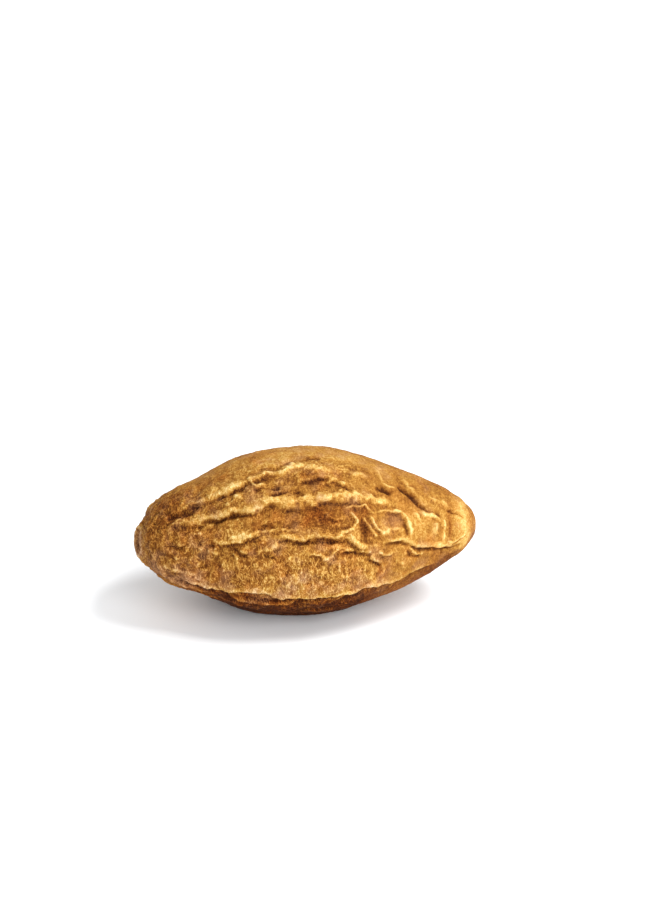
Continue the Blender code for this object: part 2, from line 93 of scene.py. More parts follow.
# Crests: step at the edge, how far the skin above and below bends with it, how pale
# the edge is (partly painted highlight), then the line
CRESTS = (
    (0.34, 1.2, 0.9, 1.0, (
        (-14.6, 57), (-13.2, 60.5), (-12, 63), (-10.6, 62), (-9.8, 64), (-9.1, 63.5), (-8.4, 64),
        (-7.9, 65.5), (-7.2, 66), (-6.8, 67.5), (-6.1, 67.5),
    )),
    (0.32, 1.3, 1.2, 0.0, (
        (-1.4, 62), (-0.6, 63.5), (0, 64), (0.5, 65.8), (1, 66), (1.6, 66), (2.4, 65.5), (3.4, 65.5),
    )),
    (0.44, 0.9, 0.9, 0.70, (
        (-14.7, 41), (-14.2, 43), (-13.4, 44), (-12.6, 42.5), (-12, 42), (-11.4, 43), (-10.9, 44.5),
        (-10.4, 44.5), (-9.8, 44), (-9.2, 44.5), (-8.7, 45), (-8.2, 47), (-7.6, 46), (-7.1, 45),
        (-6.6, 44.5), (-6, 44), (-5.7, 45.3), (-5.2, 45.3), (-4.85, 47.5), (-4.3, 48.5), (-3.4, 48),
        (-2.4, 46.5),
    )),
    (0.24, 0.8, 1.3, 0.3, (
        (-4.2, 46.5), (-3.2, 45.5), (-2.2, 44.5), (-1, 44.5), (0, 46), (1, 47.5), (2, 48), (3, 48),
        (4, 48.3), (5.4, 48), (6.6, 46.5),
    )),
    (0.34, 0.6, 0.8, 0.8, (
        (-10.2, 22), (-9.4, 22), (-8.7, 22.5), (-8, 23), (-7.4, 24), (-6.9, 25.2), (-6.3, 27),
        (-5.8, 28), (-5.2, 28.5),
    )),
    (0.46, 0.6, 1.2, 0.45, (
        (-4.1, 24), (-3.4, 25), (-2.8, 25.3), (-2.3, 24.3), (-1.7, 22.8), (-1.2, 22.8), (-0.7, 24),
        (-0.1, 25.3), (0.5, 25.3), (1.3, 24.3), (2.1, 23), (2.9, 22.7), (3.7, 23),
    )),
    (0.30, 0.5, 0.9, 0.4, (
        (3.5, 23.5), (3.75, 21.5), (3.95, 19), (4.3, 16.7), (4.7, 15), (5.2, 13.4), (5.9, 12.5),
    )),
    (0.40, 0.8, 0.8, 0.8, (
        (7.2, 14.8), (8, 16.2), (8.9, 16.5), (9.7, 15), (10.3, 12), (10.7, 8.3), (11.7, 4.6),
        (12.3, 2.4), (13, 0.8), (13.8, -1.7), (14.5, -4.2), (15.1, -7.2), (15.9, -12),
    )),
    (0.20, 1.2, 1.0, 0.2, (
        (9.5, 74), (10.1, 70), (10.7, 65.5), (11.2, 60), (11.6, 55), (12, 51), (12.5, 47.5),
    )),
    (0.50, 0.7, 0.7, 0.8, (
        (-15.3, -17.5), (-14.2, -20), (-13.4, -20.5), (-12.7, -22), (-12, -23.5), (-11.1, -23),
        (-10.3, -20), (-9, -18.7), (-8, -16.7), (-6.9, -15.5), (-5.4, -14.5), (-4.8, -15.5),
        (-4.2, -17.5), (-3.5, -19), (-2.8, -19), (-1.7, -19.5), (-0.7, -21), (0.3, -19.5),
        (1.4, -19.5), (2.4, -19.5), (3.5, -20.5), (4.2, -21), (4.9, -19.5), (5.8, -19.5),
        (6.7, -21.5), (7.4, -23), (8.2, -24.5), (9, -25), (10, -23.5), (11, -21.5), (12, -23),
        (13, -26), (14.3, -28),
    )),
    (0.44, 0.5, 0.8, 0.9, (
        (-9.3, -19.5), (-9, -21), (-8.7, -23.5), (-8.3, -25), (-7.9, -27), (-7.3, -27.5),
        (-6.6, -27), (-5.7, -26), (-4.8, -26), (-3.8, -26), (-2.9, -26), (-2.1, -24), (-1.2, -21.5),
    )),
    (0.24, 0.5, 0.8, 0.9, (
        (-15.3, -26), (-13.8, -30.5), (-12.7, -32.5), (-12, -34), (-11.4, -35), (-10.3, -34),
        (-9.6, -36), (-9, -38), (-8.3, -38), (-7.7, -39), (-7, -41), (-5.8, -42), (-4, -41),
    )),
)

# Shape across a crest: shares of its step in the lip above its edge and in the foot below,
# where the drop between them ends and starts, and the height of the thin edge itself
LIP_SHARE = 0.6
FOOT_SHARE = 0.4
DROP_FOOT = -0.42
DROP_TOP = 0.06
EDGE_HEIGHT = 0.05

# Raised rims and ridges: height, half width, then the line
RIMS = (
    (0.22, 0.15, (
        (-6.4, 73), (-6.2, 71.5), (-6, 68.5), (-5.5, 62.7), (-5.2, 63.5), (-4.8, 63.5), (-4.3, 62),
    )),
    (0.20, 0.26, (
        (-6.3, 72), (-5.5, 70.5), (-5.1, 71), (-4.7, 72), (-4.4, 74), (-3.9, 73.5), (-3.2, 72),
    )),
    (0.30, 0.55, (
        (-4.0, 71), (-2.9, 72), (-2.2, 74), (-1.5, 76), (-0.8, 76.5), (0, 75.5), (0.8, 73.5),
        (1.5, 72), (2.6, 71.5),
    )),
    (0.26, 0.15, ((1.8, 61.8), (2.2, 63.6), (2.6, 64), (3, 62.5), (3.5, 61), (4.2, 59.8))),
    (0.12, 0.40, ((2.4, 77), (3.4, 75.5), (4.4, 73), (5.4, 72), (6.6, 73))),
    (0.12, 0.20, ((7.4, 85), (7.5, 80), (7.6, 76), (7.7, 72), (7.9, 68))),
    (0.18, 0.15, ((7.5, 68), (8.1, 66.2), (8.7, 64.5), (9.3, 64))),
    (0.08, 0.30, (
        (9.6, 84), (10.2, 79), (10.6, 74), (10.9, 69.5), (11.3, 64), (11.8, 58.5), (12.5, 53),
    )),
    (0.18, 0.30, ((-8.8, 51.5), (-8.5, 54.5), (-8.1, 57), (-7.6, 57.5), (-7, 56))),
    (0.25, 0.46, (
        (-5.6, 48.5), (-5, 50), (-4.5, 51.3), (-4.1, 51.7), (-3.6, 50.3), (-3, 49), (-2, 48.5),
        (-1, 48.7), (0, 49.3), (1, 50.5), (2, 51), (3, 52.3), (4, 52.5), (5, 52.5), (6, 51.5),
        (6.6, 50), (7.4, 49.5), (8.2, 49.5), (9.2, 48.5), (10.4, 46.5),
    )),
    (0.14, 0.22, ((-0.2, 44.6), (0.3, 45.2), (0.8, 44.6))),
    (0.12, 0.16, ((0.25, 38), (0.35, 36), (0.55, 33.5), (0.75, 31.5))),
    (0.10, 0.14, ((1.4, 40), (1.9, 37), (2.6, 35.5), (3.3, 36.5))),
    (0.10, 0.14, ((1.6, 33.5), (2.2, 31.5), (3, 31))),
    (0.16, 0.34, ((-8.9, 26), (-8.2, 27.5), (-7.3, 27.8), (-6.5, 28.5), (-5.6, 29))),
    (0.16, 0.16, ((-6.1, 28.8), (-5.1, 30), (-4.1, 30), (-3.1, 30), (-2.2, 29.3), (-1.7, 27.5))),
    (0.12, 0.14, ((1.8, 22.6), (2.6, 23.5), (3.3, 25))),
    (0.28, 0.18, (
        (3.8, 41), (4.1, 39), (4.35, 37), (4.6, 34.5), (4.6, 32), (4.3, 29.5), (3.7, 27.3),
        (2.9, 26), (2.2, 24.6),
    )),
    (0.12, 0.17, ((3.85, 27.5), (4, 24.5), (4.1, 21.8), (4.5, 18.5), (5.1, 16.2), (5.8, 15.4))),
    (0.26, 0.14, (
        (3.1, 43), (3.9, 44), (4.6, 44), (5.05, 44), (5.3, 45.3), (5.6, 45.5), (6, 42.8),
        (6.3, 40.4), (6.9, 39.6),
    )),
    (0.22, 0.16, ((6.7, 40), (7.3, 41.8), (8.2, 42.2), (9, 42.3), (9.8, 41.6))),
    (0.22, 0.12, ((5, 38.5), (5.6, 34), (6, 29.5), (6.4, 25), (7.1, 19))),
    (0.24, 0.13, ((6.05, 39), (6.35, 34), (6.55, 30.5), (7, 27), (7.6, 24.5))),
    (0.15, 0.26, ((6.8, 26.5), (7.4, 24.5), (8, 26), (8.6, 27.3), (9.1, 26), (9.5, 23))),
    (0.30, 0.24, ((9.3, 42), (9.85, 37.5), (10.1, 33), (10.3, 28.5), (10.4, 24), (10.5, 17))),
    (0.14, 0.20, ((10.8, 41.5), (11.3, 37.5), (11.6, 32.5))),
    (0.16, 0.28, ((11.4, 44.5), (12.3, 39.7), (13, 38.5), (13.9, 35.5))),
    (0.20, 0.28, ((14.15, 36), (14.2, 28), (14.15, 18), (14.0, 7))),
    (0.12, 0.30, ((13.2, 32), (13.1, 25), (13.0, 15))),
    (0.24, 0.15, ((10.1, 10), (10.4, 5.5), (10.7, 1.5), (11, -2.3), (11.4, -3.2), (11.9, -2.4))),
    (0.16, 0.16, ((14.3, 1), (15.3, -0.5), (16.1, 1.5), (17, 5))),
    (0.25, 0.18, (
        (-1.3, 16), (-0.9, 15), (-0.4, 13.6), (0.4, 13.2), (0.8, 11), (1.2, 9.6), (1.7, 9.6), (2, 12),
        (2.4, 14), (2.85, 15), (3.3, 14), (3.9, 12.8), (4.4, 12.6),
    )),
    (0.20, 0.15, ((4.6, 12.6), (5.1, 11.5), (5.6, 10.5), (6.1, 8.3))),
    (0.20, 0.15, ((5.8, 6.2), (6.1, 5.3), (6.5, 3), (6.9, 1), (7.2, -1))),
    (0.16, 0.16, ((5, 15.2), (6.2, 14.6), (7.1, 14))),
    (0.22, 0.15, ((6.9, 9.5), (7.15, 7.5), (7.5, 6), (8, 6), (8.5, 7.3))),
    (0.14, 0.16, ((7.1, -3), (7.3, -7), (7.2, -12))),
    (0.18, 0.15, ((-8.5, 16.5), (-8.1, 13.5), (-7.95, 10.5), (-7.85, 6), (-7.8, 1))),
    (0.18, 0.22, ((-5.2, 19.5), (-4.8, 18), (-4.4, 18.5), (-4, 20), (-3.7, 22.5))),
    (0.18, 0.20, ((-10.9, 16), (-10.2, 14.8), (-9.5, 14.3))),
    (0.14, 0.16, ((-10.9, 18.8), (-10.4, 17.5), (-9.8, 17))),
    (0.16, 0.20, ((-10.4, 25.5), (-9.9, 24.5), (-9.4, 24))),
    (0.14, 0.18, ((-12.6, 36.3), (-12.1, 36.2), (-11.6, 36.6))),
    (0.12, 0.18, ((-12.3, 31), (-11.8, 32.5), (-11.3, 31.5))),
    (0.12, 0.18, ((-7.8, 17), (-7.3, 15.5), (-6.8, 15.6))),
    (0.14, 0.16, ((-5.8, 14.5), (-5.5, 16.5), (-5.3, 17.5))),
    (0.14, 0.18, ((-14.7, 42.5), (-14.4, 45), (-13.9, 45.5), (-13.5, 48), (-13.2, 46.5))),
    (0.10, 0.22, ((12.6, 66), (13.4, 62), (14.2, 60), (15, 55))),
    (0.14, 0.30, ((-16, -10), (-14.5, -9), (-13, -10), (-11.5, -12))),
    (0.20, 0.15, ((-16, -24), (-14.6, -29), (-13, -33), (-11.5, -37), (-9.8, -41), (-8, -44))),
    (0.17, 0.15, ((-15.4, -33), (-14, -38), (-12.4, -42), (-10.6, -47), (-8.6, -50))),
)

# Upright crinkles low on the front and under its lip: place, upper and lower angle, lean
CRINKLES = (
    (-12.8, 9, 1, 0.3), (-11.6, 4, -6, -0.4), (-10.9, 8, -2, 0.2), (-10.1, 2, -12, -0.5),
    (-9.1, 9, -3, -0.3), (-8.1, 15, 2, 0.5), (-7.5, 1, -9, 0.3), (-6.7, -2, -9, 0.4),
    (-6.2, 13, 5, 0.2), (-5.2, 8, 1, 1.0), (-5.0, -1, -12, -0.3), (-4.2, 15, 8, -0.4),
    (-3.7, 4, -6, 0.3), (-3.0, -1, -14, 0.3), (-2.4, 14, 8, -0.3), (-1.8, 10, 3, 0.3),
    (-2.1, 2, -8, 0.2), (-1.2, 8, -5, -0.2), (-0.4, 4, -10, 0.2), (0.2, 3, -4, 0.1),
    (0.9, 1, -7, -0.3), (1.7, 5, -3, 0.2), (2.5, 8, -2, 0.2), (3.3, 6, -9, 0.2),
    (4.2, 8, 0, -0.2), (5.1, 6, -6, 0.3), (6.2, -4, -14, -0.3), (8.6, 2, -6, 0.3),
    (9.4, -4, -14, 0.2), (-14.2, 10, -2, 0.3), (-13.1, -4, -12, 0.3),
    (-5.6, -34, -45, -0.3), (-3.1, -30, -42, 0.3), (-1.6, -27, -37, 0.2), (0.4, -27, -40, 0.4),
    (1.9, -26, -34, -0.2), (3.3, -27, -39, -0.3), (5.4, -27, -37, 0.4), (6.9, -30, -38, 0.2),
    (8.6, -31, -39, -0.3), (10.6, -29, -38, 0.3), (12.4, -31, -37, 0.2),
)

# Height and half width of a crinkle
CRINKLE_HEIGHT = 0.09
CRINKLE_WIDTH = 0.14

# Creases: depth, half width, then the line
CREASES = (
    (0.24, 0.20, (
        (7.2, 13), (8, 14.5), (8.9, 15), (9.7, 13.3), (10.3, 10), (10.7, 6), (11.7, 2.6),
        (12.3, 0.4), (13, -1.2), (13.8, -4), (14.5, -6.8), (15.1, -10), (15.9, -15.5), (16.6, -13),
    )),
    (0.26, 0.24, (
        (9.2, 70), (9.8, 66.5), (10.4, 63), (10.9, 59), (11.3, 54.5), (11.7, 50.5), (12.1, 47.3),
        (12.5, 44.7), (13, 43.5), (13.6, 40.7), (14.3, 40.7),
    )),
    (0.24, 0.20, ((13.9, 52), (14.6, 49), (15.2, 46.5), (16, 44.5), (16.7, 40))),
    (0.08, 0.22, ((14.75, 35), (14.9, 26), (14.9, 16), (14.8, 5))),
    (0.14, 0.30, (
        (-5.3, 76.5), (-4.6, 78), (-3.9, 77), (-3.2, 76.5), (-2.8, 78), (-2.2, 80.5), (-1.5, 82.5),
    )),
    (0.12, 0.34, ((-1.9, 82), (-0.8, 84), (0, 84.5), (0.8, 85), (1.6, 83))),
    (0.24, 0.30, ((-15, 52), (-14.2, 52.5), (-13.2, 52.5), (-12.4, 52.5), (-11.8, 56), (-11.3, 59))),
    (0.26, 0.24, (
        (-9.7, 62.5), (-9.1, 61.5), (-8.2, 62), (-7.7, 64.3), (-7.1, 64), (-6.7, 66.5), (-6, 66),
    )),
    (0.22, 0.24, ((-5.8, 59), (-5.3, 60), (-4.6, 60), (-3.8, 59.3), (-3, 59.8))),
    (0.20, 0.22, ((-4.5, 54.7), (-3.8, 54.2), (-2.8, 55.5), (-2.2, 55.7), (-1.6, 55), (-0.7, 54.6))),
    (0.20, 0.15, (
        (-1.1, 61.3), (-0.6, 62.3), (0, 62.7), (0.4, 64.4), (1, 64.8), (1.6, 64.8), (2.3, 64),
    )),
    (0.26, 0.24, ((2.6, 61.3), (3.1, 59.5), (3.6, 57.8), (4.1, 57))),
    (0.14, 0.20, ((1.5, 61), (1.9, 59.7), (2.4, 58))),
    (0.28, 0.26, ((6.8, 61.7), (7.5, 61.5), (8.1, 60.5), (8.8, 57.8))),
    (0.28, 0.22, (
        (-11.1, 41.3), (-10.4, 41.3), (-9.9, 40.3), (-9.2, 41.3), (-8.6, 42.3), (-7.8, 43),
        (-7.2, 42.3), (-6.4, 43),
    )),
    (0.22, 0.18, ((-12.4, 36.8), (-11.6, 38), (-10.8, 39.3))),
    (0.18, 0.18, ((-8.8, 53), (-8.5, 55.5), (-8, 58.5))),
    (0.22, 0.18, (
        (-2.6, 20.8), (-1.8, 20.5), (-1, 20.2), (0, 20.5), (1, 20), (2, 19.3), (3, 19.3), (3.6, 19.5),
        (3.9, 17.5), (4.3, 15.2), (4.7, 13.6), (5.2, 12.3),
    )),
    (0.15, 0.30, (
        (-2.6, -22.5), (-1, -23.5), (0.3, -22.5), (2.4, -22.5), (4.2, -24), (5.8, -23), (7.4, -26),
        (9, -28), (10.5, -26),
    )),
    (0.24, 0.17, ((2.9, 12), (3.6, 11.3), (4.2, 11), (4.95, 9), (5.6, 7.5), (6.2, 6))),
    (0.24, 0.17, ((5.5, 4.8), (6.1, 2.3), (6.6, -0.5), (7, -3.5), (7.3, -9))),
    (0.20, 0.22, ((-8.5, 18.7), (-7.8, 16), (-7.4, 13.5), (-6.8, 12.3))),
    (0.16, 0.18, ((-5.2, 13.2), (-4.7, 12), (-4.2, 11.2))),
    (0.14, 0.18, ((-4.3, 15), (-3.8, 16.8), (-3.4, 18.3))),
    (0.12, 0.20, ((9.85, 30.5), (9.9, 25), (10, 19))),
    (0.20, 0.16, ((10, 5), (10.4, -0.5), (10.9, -4.2), (11.6, -4.8))),
    (0.14, 0.16, ((14.8, -3), (15.5, -4), (16.2, -2), (16.9, 1))),
    (0.12, 0.16, ((14.1, -7), (14, -12), (14, -17))),
    (0.16, 0.22, ((-15.4, 19), (-14.7, 18.5), (-13.7, 16), (-13, 15))),
    (0.16, 0.26, ((-12, 22), (-11.3, 21), (-10.6, 20), (-10, 19.5))),
)

# Hidden side: the middle angle of each long crest that the seeded rule draws there, and
# the angles between which it scatters its wrinkles
HIDDEN_CRESTS = (143, 160, 177, 194, 211, 229, 247, 264)
HIDDEN_SIDE = (126, 268)
HIDDEN_WRINKLES = 120
SEED = 41

# Lighter and darker patches, partly the skin's own tone; many of the darker ones, in hollows and under
# the low lip, are painted shade: middle, spreads in millimetres along and round, change of tone
TONE_AND_SHADE_PATCHES = (
    ((-1, 94), (11, 4.2), 0.08),
    ((0.2, 85.5), (1.0, 0.4), -0.12),
    ((-8.5, 70), (2, 1.0), 0.06),
    ((-5.3, 78), (2, 1.0), -0.08),
    ((5.3, 88), (3, 1.2), 0.08),
    ((5.9, 71), (2.8, 1.0), -0.07),
    ((13.3, 78), (1.8, 1.5), -0.02),
    ((11.2, 56), (1.8, 1.0), -0.11),
    ((-7, 47), (2.6, 0.9), 0.07),
    ((-11.2, 37), (2.4, 0.9), 0.07),
    ((-11.2, 4), (2.4, 1.2), -0.08),
    ((-4.3, -17), (2.5, 0.8), -0.05),
    ((-15, 30), (3.5, 6), -0.08),
    ((-4.6, 68.5), (1.2, 0.55), -0.10),
    ((-3.4, 57), (1.2, 0.5), -0.08),
    ((-3, 47), (7, 1.0), -0.06),
    ((-1, 25), (4, 0.7), -0.04),
    ((0.6, 59.5), (3.2, 0.9), -0.07),
    ((1.0, 35.5), (2.4, 1.0), -0.16),
    ((-2.0, 33), (0.8, 0.5), -0.18),
    ((-4.5, 33), (2.2, 0.5), -0.12),
    ((-7.6, 27.3), (0.9, 0.35), 0.18),
    ((-8, 12), (5, 2.5), -0.09),
    ((-13.5, 62), (4.5, 2.6), -0.16),
    ((4.9, 41.6), (0.6, 0.3), -0.16),
    ((5.4, 27), (0.5, 1.2), -0.18),
    ((4.65, 19.5), (0.3, 0.6), 0.16),
    ((7.6, 25.3), (0.6, 0.4), 0.10),
    ((11.4, 27), (2.6, 2.6), 0.15),
    ((8.7, 34.5), (1.0, 0.7), -0.12),
    ((14.2, 22), (0.35, 2.4), 0.12),
    ((16.5, 22), (1.3, 3.6), 0.29),
    ((0, -14), (2.6, 0.7), 0.08),
    ((-5, -23), (3.6, 0.4), -0.20),
    ((-12, -28), (3.5, 1.2), -0.12),
    ((6, -15), (0.4, 0.8), 0.08),
)

# Redder and yellower patches: middle, spreads, change of redness
RED_PATCHES = (
    ((1.0, 36), (2.6, 1.1), 0.50),
    ((-4.2, 41), (1.4, 0.9), 0.30),
    ((5.4, 26), (0.6, 1.5), 0.35),
    ((8.7, 35), (1.0, 1.0), 0.30),
    ((12.7, 20), (0.8, 1.8), 0.35),
    ((14.87, 19), (0.30, 2.2), 0.80),
    ((7.0, -13), (0.5, 1.7), 0.45),
    ((2.5, -11), (2.5, 1.2), 0.25),
    ((-3.8, -5), (1.0, 1.0), 0.30),
    ((-10, -1), (1.2, 1.0), 0.25),
    ((-14, 62), (4, 2.5), 0.30),
    ((-5, -24), (4, 0.6), 0.50),
    ((-12, -28), (3.5, 1.4), 0.35),
    ((-7, 67), (5, 1.4), -0.50),
    ((2, 94), (12, 4), -0.15),
    ((-7, 47), (4, 1.0), -0.80),
    ((-8.5, 71), (2.5, 1.2), -0.30),
    ((5.3, 88), (3, 1.2), -0.35),
    ((12, 28), (2.5, 2), -0.30),
    ((-1, 75), (3, 1.0), -0.35),
    ((0.5, 59), (3.5, 1.0), -0.30),
    ((4, 53), (3, 0.8), -0.25),
    ((-7.5, 27), (1.4, 0.7), -0.30),
    ((16.5, 26), (1.2, 3.4), -0.35),
    ((1.5, 5), (3, 1.2), -0.10),
)

# Dustier patches: middle, spreads, how dusty
DUSTY_PATCHES = (
    ((-14, -22), (4.5, 1.6), 0.9),
    ((0, -16), (9, 0.9), 0.5),
    ((0, 98), (12, 4), 0.15),
)

# Calmer patches, with lower wrinkles: middle, spreads, how calm
CALM_PATCHES = (
    ((1, 102), (11, 3.8), 0.85),
    ((-11, 108), (5, 3), 0.6),
    ((-9, -60), (9, 3.4), 0.8),
    ((1, 48), (9, 4), 0.5),
    ((9, -60), (6, 3), 0.7),
)
CALM_AT_TIP = 0.6
LEAST_ROUGH = 0.15

# The low front, which has upright crinkles: middle and spreads
LOW_FRONT = ((-1, -2), (9, 2.8))

# Nets of fine wrinkles: size of the cells between them, height, half width, seed, and
# whether they are at the stem end alone
NETS = (
    ((2.2, 1.2, 1.2), 0.08, 0.14, 41, False),
    ((0.9, 0.6, 0.6), 0.04, 0.11, 51, False),
    ((2.4, 0.6, 0.6), 0.09, 0.12, 57, True),
)

# Swellings and grain all over: size, height, seed
SWELLINGS = (
    ((3.0, 1.1, 1.1), 0.08, 72),
    ((1.3, 0.6, 0.6), 0.04, 73),
)
GRAINS = (
    ((0.9, 0.45, 0.45), 0.03, 15),
    (0.4, 0.015, 16),
)

# Tone of plain skin, and how far these change it: the relief, as painted shade in hollows
# and painted light on rises; the pale marks, partly painted highlight; painted shade in folds;
# painted shade on the underside
PLAIN_TONE = 0.41
NEAR_RELIEF_PAINTED_SHADING = 0.11
WIDE_RELIEF_PAINTED_SHADING = 0.07
PALE_AND_HIGHLIGHT_TONE = 0.28
PAINTED_SHADE_TONE = 0.32
UNDERSIDE_PAINTED_SHADE = 0.36

# Stem scar: which way it faces, and its size
SCAR_FACING = (-0.985, -0.150, 0.080)
SCAR_CUT = 0.30
SCAR_RADIUS = 1.45
SCAR_DEPTH = 0.28
SCAR_RIM = 0.16

# Calm patch that touches the ground
CALM_PATCH_LONG = 7.5
CALM_PATCH_ROUND = 24.0

# Floor and light: sizes and places in metres, power in watts
FLOOR_SIZE = 3.0
FLOOR_COLOUR = (0.94, 0.96, 0.98, 1.0)
FLOOR_ROUGHNESS = 0.9
SKY_STRENGTH = 0.70
LIGHTS = (
    ("key", (0.23, -0.07, 0.37), 0.16, 1.52),
    ("front", (0.12, -0.33, 0.23), 0.24, 0.97),
    ("low", (0.15, -0.38, 0.07), 0.20, 0.25),
)

# Camera: where the photograph was taken from, and where the fruit's middle is in it
PHOTO_WIDTH = 660
PHOTO_HEIGHT = 900
FRUIT_MIDDLE_PIXEL = (305.0, 531.5)
CAMERA_ELEVATION = 28.0
CAMERA_AZIMUTH = -6.0
CAMERA_DISTANCE = 350.0
CAMERA_LENS = 132.2
SENSOR = 36.0


def ease(low, high, value):
    """Rise smoothly from 0 at low to 1 at high."""
    t = np.clip((value - low) / (high - low), 0.0, 1.0)
    return t * t * (3.0 - 2.0 * t)


def spindle_radius(x):
    """Radius of the plain spindle at x."""
    half = LENGTH / 2
    ellipse = np.sqrt(np.clip(1 - (x / half) ** 2, 0, 1))
    taper = 1 - TIP_TAPER * ease(0, 15, x)
    waist = WAIST_DEPTH * np.exp(-((x - WAIST_PLACE) / WAIST_SPREAD) ** 2)
    return GIRTH / 2 * ellipse * (taper - waist)


OUTLINE = -LENGTH / 2 * np.cos(np.linspace(0, math.pi, 4001))
OUTLINE_RADIUS = spindle_radius(OUTLINE)
OUTLINE_RUN = np.concatenate(([0], np.cumsum(np.hypot(np.diff(OUTLINE), np.diff(OUTLINE_RADIUS)))))


def run_to(x):
    """Length of skin from the stem end to x, along the outline."""
    return np.interp(x, OUTLINE, OUTLINE_RUN)


def turn(degrees):
    """Bring an angle between -180 and 180 degrees."""
    return (degrees + 180.0) % 360.0 - 180.0


def noise(places, grain, seed):
    """Smooth noise between about -1 and 1, with bumps of about the grain's size."""
    slopes = np.random.default_rng(seed).normal(size=(NOISE_CELLS,) * 3 + (3,))
    spot = places / np.array(grain) + NOISE_SHIFT
    cell = np.floor(spot).astype(int)
    part = spot - cell
    blend = part ** 3 * (part * (part * 6 - 15) + 10)
    total = np.zeros(len(places))
    for corner in itertools.product((0, 1), repeat=3):
        at = (cell + corner) % NOISE_CELLS
        slope = slopes[at[:, 0], at[:, 1], at[:, 2]]
        weight = np.prod(np.where(corner, blend, 1 - blend), axis=1)
        total += weight * ((part - corner) * slope).sum(1)
    return total


def wall_distance(places, grain, seed):
    """Distance in millimetres to the nearest wall between cells of about the grain's size."""
    jitter = np.random.default_rng(seed).random((NOISE_CELLS,) * 3 + (3,))
    grain = np.array(grain, dtype=float)
    spot = places / grain + NOISE_SHIFT
    cell = np.floor(spot).astype(int)
    first = np.full((len(places), 3), 9.0)
    second = first.copy()
    for corner in itertools.product((-1, 0, 1), repeat=3):
        at = cell + corner
        wrapped = at % NOISE_CELLS
        gap = at + jitter[wrapped[:, 0], wrapped[:, 1], wrapped[:, 2]] - spot
        length = (gap ** 2).sum(1)
        closest = (length < (first ** 2).sum(1))[:, None]
        closer = (length < (second ** 2).sum(1))[:, None]
        second = np.where(closest, first, np.where(closer, gap, second))
        first = np.where(closest, gap, first)
    across = second - first
    across /= np.linalg.norm(across, axis=1)[:, None] + 1e-9
    return 0.5 * ((first + second) * across).sum(1) * grain.min()


def smooth_line(points, steps=6):
    """Curve through the points, as an array of (x, angle), smooth at each of them."""
    knots = np.array(points, dtype=float)
    padded = np.vstack((2 * knots[0] - knots[1], knots, 2 * knots[-1] - knots[-2]))
    t = np.linspace(0, 1, steps, endpoint=False)[:, None]
    pieces = []
    for before, start, end, after in zip(padded, padded[1:], padded[2:], padded[3:]):
        bend = 2 * before - 5 * start + 4 * end - after
        twist = 3 * (start - end) + after - before
        pieces.append(start + 0.5 * t * (end - before + t * (bend + t * twist)))
    return np.vstack(pieces + [knots[-1:]])


def fade(along, ends=0.14):
    """Full height along a line, dying away at both ends."""
    return ease(0, ends, along) * ease(0, ends, 1 - along)


